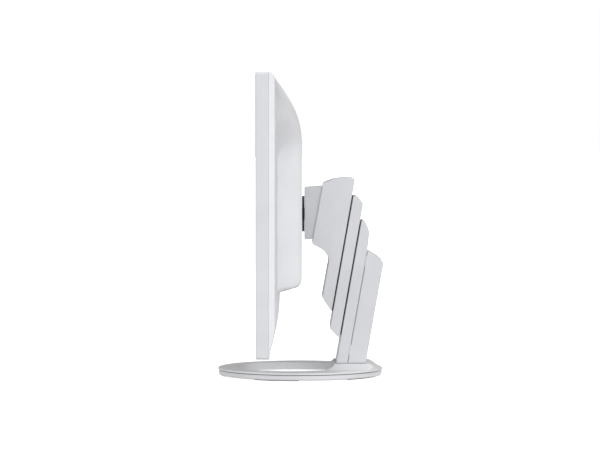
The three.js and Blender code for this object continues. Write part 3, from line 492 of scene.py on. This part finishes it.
# ------------------------------------------------------------------ head: bezel
W2, HZ0, HZ1, FR, SEAM = 323.0, 44.5, 441.5, -62.0, -43.6
SCT, SCH, SCW = 419.3, 336.7, 298.85
SCB = SCT - SCH
def rl(x, z0, z1, r, y, seg=8): return [(a, y, b) for a, b in rrect(-x, x, z0, z1, r, seg)]
loops = [rl(SCW, SCB, SCT, 0.3, FR + 2.4), rl(SCW, SCB, SCT, 0.3, FR + 0.5), rl(SCW + 0.15, SCB - .15, SCT + .15, 0.35, FR + 0.15), rl(SCW + .5, SCB - .5, SCT + .5, 0.5, FR)]
R = 1.8
for k in range(0, 7):
    t = math.pi / 2 * k / 6
    e = R * (1 - math.sin(t))
    loops.append(rl(W2 - e, HZ0 + e, HZ1 - e, 3.4 - e, FR + R * (1 - math.cos(t))))
loops += [rl(W2, HZ0, HZ1, 3.4, SEAM - 0.6), rl(W2 - 0.18, HZ0 + 0.18, HZ1 - 0.18, 3.3, SEAM - 0.2), rl(W2 - 0.6, HZ0 + .6, HZ1 - .6, 3.0, SEAM),
          rl(W2 - 2.4, HZ0 + 2.4, HZ1 - 2.4, 1.2, SEAM), rl(W2 - 2.4, HZ0 + 2.4, HZ1 - 2.4, 1.2, FR + 2.4)]
v, f = loft(loops)
ob = new_object("bezel", v, f, M["bezel"], "head", ["front_bezel"], sharp=35)
KEYS = ["menu_key", "down_key", "up_key", "enter_key", "power_key"]
KZ, KX, KP = 62.0, 196.0, 22.0
boolean(ob, [cut_y(rrect(KX + i * KP - 7.4, KX + i * KP + 7.4, KZ - 2.6, KZ + 2.6, 2.4, 8), FR - 2, FR + 5) for i in range(5)] + [cut_y(circle(3.4, 40, 0, KZ), FR - 2, FR + 5)])
done(ob, 0.25, 2)

# ------------------------------------------------------------------ head: rear cover
EDGE = [(44.5, -42.3), (50, -42.1), (54, -41.6), (58, -40.6), (62, -39.3), (66, -38.1), (70, -37.2), (75, -36.2), (82, -34.9), (88, -34.6), (430, -34.6), (436, -35.9), (441.5, -39.6)]
CROWN = [(129, -35), (138, -5), (139.6, -2.2), (142, 0), (146, 1.6), (151, 2.4), (346, 2.4), (356, 1.5), (365.7, 0.1),
         (378.5, -2.9), (392.4, -8.3), (408.9, -17.6), (423.5, -27), (435.4, -35.9), (441.5, -39.6)]
def table(t, v):
    if v <= t[0][0]: return t[0][1]
    for (a, ya), (b, yb) in zip(t, t[1:]):
        if v <= b: return ya + (yb - ya) * (v - a) / (b - a)
    return t[-1][1]
def soft_table(t, v, w):
    """The table, averaged over a few millimetres so that its corners are rounded."""
    s = 0.0
    for k in (-1, -0.5, 0, 0.5, 1): s += table(t, v + k * w)
    return s / 5
def pan_y(x, z):
    return soft_table(EDGE, z, 3) + 4.6 * smooth(46, 116, z) * (1 - smooth(390, 432, z)) * max(0.0, 1 - (x / 318.0) ** 2) * 0.9
def crown_y(z):
    if z < 154: return table(CROWN, z)
    return soft_table(CROWN, z, 7) if 352 < z < 433 else table(CROWN, z)
HUMP = 219.0
def cover_y(x, z):
    p = pan_y(x, z); c = crown_y(z)
    if z <= CROWN[0][0] or c <= p: return p      # the housing starts above this height
    w = smooth(325, 415, z)
    xa, xb = lerp(HUMP - 15.5, 215, w), lerp(HUMP + 2, 318, w)
    u = max(0.0, min(1.0, (abs(x) - xa) / (xb - xa)))
    steep = 1 - 0.14 * u / 0.286 if u < 0.286 else 0.86 * ((1 - u) / 0.714) ** 1.3
    soft = 1 - smooth(0, 1, u)
    return p + (c - p) * lerp(steep, soft, w)

half = [0, 22, 44, 62, 80, 100, 120, 140, 158, 174, 188, 196, 200, 202.2, 203.2, 203.8, 205.2, 206.8, 208.1, 208.9, 210.4, 212, 213.6, 215.2, 216.6, 217.8, 218.8, 219.6, 220.3, 221, 222.5, 225, 231, 238, 246, 254, 262, 270, 278, 286, 294, 301, 307, 312, 316.5]
xs = [-a for a in reversed(half[1:])] + half
zs = [50.5, 54, 58, 63, 68, 74, 80, 87, 94, 101, 108, 115, 121, 126, 128.6, 129.4, 130.5, 132, 133.5, 135, 136.5, 137.6, 138.4, 139.2, 140, 141, 142.4, 144, 146, 148.5, 151, 156, 170, 200, 230, 260, 290, 310, 325, 337, 346, 352, 358, 364, 370, 376, 382, 388, 394, 400, 406, 412, 418, 424, 429, 433, 435.5]
def cover_grid(ins):
    rims = [(0.0, None), (0.12, 2.4), (0.5, 1.35), (1.2, 0.6), (2.2, 0.18)]   # how far in from the edge, how far below the pan
    left = [-322.9 + ins + a for a, _ in rims]; right = [322.9 - ins - a for a, _ in reversed(rims)]
    low = [HZ0 + 0.2 + ins + a for a, _ in rims]; high = [HZ1 - 0.2 - ins - a for a, _ in reversed(rims)]
    X = left + xs + right; Z = low + zs + high
    P = []
    for j, z in enumerate(Z):
        for i, x in enumerate(X):
            e = min(i, len(X) - 1 - i, j, len(Z) - 1 - j)
            xi = max(-316.5, min(316.5, x))
            y = cover_y(xi, z) - ins
            if e < 5:
                d = rims[e][1]
                y = SEAM + 0.06 if d is None else y - d * max(0.0, min(1.0, (y - SEAM - 0.06) / 5))
            P.append((x, max(y, SEAM + 0.06), z))
    return P, len(X), len(Z)
A, W, H = cover_grid(0.0); B, _, _ = cover_grid(2.4)
off = len(A); faces = []
for j in range(H - 1):
    for i in range(W - 1):
        a = j * W + i
        faces.append((a, a + W, a + W + 1, a + 1)); faces.append((off + a, off + a + 1, off + a + W + 1, off + a + W))
loop = list(range(W - 1)) + [j * W + W - 1 for j in range(H - 1)] + [(H - 1) * W + i for i in range(W - 1, 0, -1)] + [j * W for j in range(H - 1, 0, -1)]
for k, a in enumerate(loop):
    b = loop[(k + 1) % len(loop)]
    faces.append((a, b, off + b, off + a))
cover = new_object("back_cover", A + B, faces, M["cover"], "head", ["rear_cover"], sharp=50)
cuts = [cut_y(rrect(-61.4, 61.4, PZ - 61.4, PZ + 61.4, 6.3), -20, 10), cut_box(-118, 118, -30, -10, 120, 150)]
for i in range(-4, 5):
    if i:
        for z0 in (384, 394):
            cuts.append(cut_y(rrect(i * 40 - 16, i * 40 + 16, z0, z0 + 3.5, 1.7, 5), -34, 10))
boolean(cover, cuts)
done(cover)

# ------------------------------------------------------------------ parts carried over from the frame
SLOT = {s["node"]: s["material_slot"] for s in frame["record"]["subparts"]}
shown = set(n for n, o in frame["nodes"].items() if not o.hide_render)
for n in sorted(shown):
    o = frame["nodes"][n]
    mat = M.get(SLOT[n], M["white_shell"])
    o.data.materials.clear(); o.data.materials.append(mat)
    small = n.startswith(("plate_screw", "tilt_spring", "tilt_pin", "pivot_washer"))
    m = o.modifiers.new("bevel", "BEVEL"); m.width = (0.12 if small else 0.25) * MM; m.segments = 2
    m.limit_method = "ANGLE"; m.angle_limit = math.radians(38); m.use_clamp_overlap = True
    m = o.modifiers.new("weighted", "WEIGHTED_NORMAL"); m.keep_sharp = True

# ------------------------------------------------------------------ stage and light
def stage_plane(name, size, z, mat):
    n = 24
    verts = []; faces = []
    for j in range(n + 1):
        for i in range(n + 1):
            verts.append((size * (i / n - .5), size * (j / n - .5), z))
    for j in range(n):
        for i in range(n):
            a = j * (n + 1) + i; faces.append((a, a + 1, a + n + 2, a + n + 1))
    me = bpy.data.meshes.new(name); me.from_pydata(verts, [], faces); me.materials.append(mat)
    ob = bpy.data.objects.new(name, me); scene.collection.objects.link(ob)
    return ob
fm = bpy.data.materials.new("floor")
nt, b = nodes_of(fm)
co = obj_coords(nt)
nt.links.new(mix_colour(nt, ramp(nt, noise(nt, co, 3.0, 4), 0.3, 0.7, 0, 1), (0.93, 0.93, 0.935), (0.95, 0.95, 0.955)), b.inputs["Base Color"])
b.inputs["Roughness"].default_value = 0.7
b.inputs["Specular IOR Level"].default_value = 0.1
b.inputs["Emission Color"].default_value = (1, 1, 1, 1)
b.inputs["Emission Strength"].default_value = 0.70
floor = stage_plane("floor", 60.0, -0.0004, fm)
floor.visible_diffuse = False

world = bpy.data.worlds.new("studio"); scene.world = world
world.use_nodes = True
nt = world.node_tree; nt.nodes.clear()
out = nt.nodes.new("ShaderNodeOutputWorld")
geo = nt.nodes.new("ShaderNodeTexCoord")
def lobe(direction, lo, hi, amount):
    """One broad softbox at infinity: radiance that rises smoothly towards a direction."""
    dot = nt.nodes.new("ShaderNodeVectorMath"); dot.operation = "DOT_PRODUCT"
    dot.inputs[1].default_value = Vector(direction).normalized()
    nt.links.new(geo.outputs["Generated"], dot.inputs[0])
    m = nt.nodes.new("ShaderNodeMapRange"); m.interpolation_type = "SMOOTHSTEP"
    m.inputs["From Min"].default_value, m.inputs["From Max"].default_value = lo, hi
    m.inputs["To Min"].default_value, m.inputs["To Max"].default_value = 0.0, amount
    nt.links.new(dot.outputs["Value"], m.inputs["Value"])
    return m.outputs["Result"]
def add_up(a, b):
    m = nt.nodes.new("ShaderNodeMath"); m.operation = "ADD"
    for k, v in enumerate((a, b)):
        if isinstance(v, float): m.inputs[k].default_value = v
        else: nt.links.new(v, m.inputs[k])
    return m.outputs[0]
light = add_up(add_up(lobe((1.0, -0.1, 0.15), 0.4, 0.95, 0.755), lobe((0.2, 0.0, 0.98), 0.4, 0.95, 0.775)), add_up(lobe((0.7, 0.6, 0.35), 0.2, 0.8, 0.423), 0.231))
bg = nt.nodes.new("ShaderNodeBackground"); bg.inputs["Color"].default_value = (1, 1, 1, 1)
nt.links.new(light, bg.inputs["Strength"])
bg2 = nt.nodes.new("ShaderNodeBackground"); bg2.inputs["Color"].default_value = (1, 1, 1, 1); bg2.inputs["Strength"].default_value = 1.0
lp = nt.nodes.new("ShaderNodeLightPath")
mx = nt.nodes.new("ShaderNodeMixShader")
nt.links.new(lp.outputs["Is Camera Ray"], mx.inputs[0])
nt.links.new(bg.outputs[0], mx.inputs[1]); nt.links.new(bg2.outputs[0], mx.inputs[2])
nt.links.new(mx.outputs[0], out.inputs["Surface"])

def area(name, loc, target, size, power, colour=(1, 1, 1)):
    ld = bpy.data.lights.new(name, "AREA"); ld.shape = "RECTANGLE"; ld.size, ld.size_y = size
    ld.energy = power; ld.color = colour
    o = bpy.data.objects.new(name, ld); scene.collection.objects.link(o)
    o.location = loc
    o.rotation_euler = (Vector(target) - Vector(loc)).to_track_quat("-Z", "Y").to_euler()
    return o
area("front_fill", (0.3, -2.2, 1.8), (0, 0, 0.25), (1.4, 1.0), 6)
area("back_fill", (-2.2, 0.9, 1.6), (0, 0.02, 0.22), (1.4, 1.0), 8)
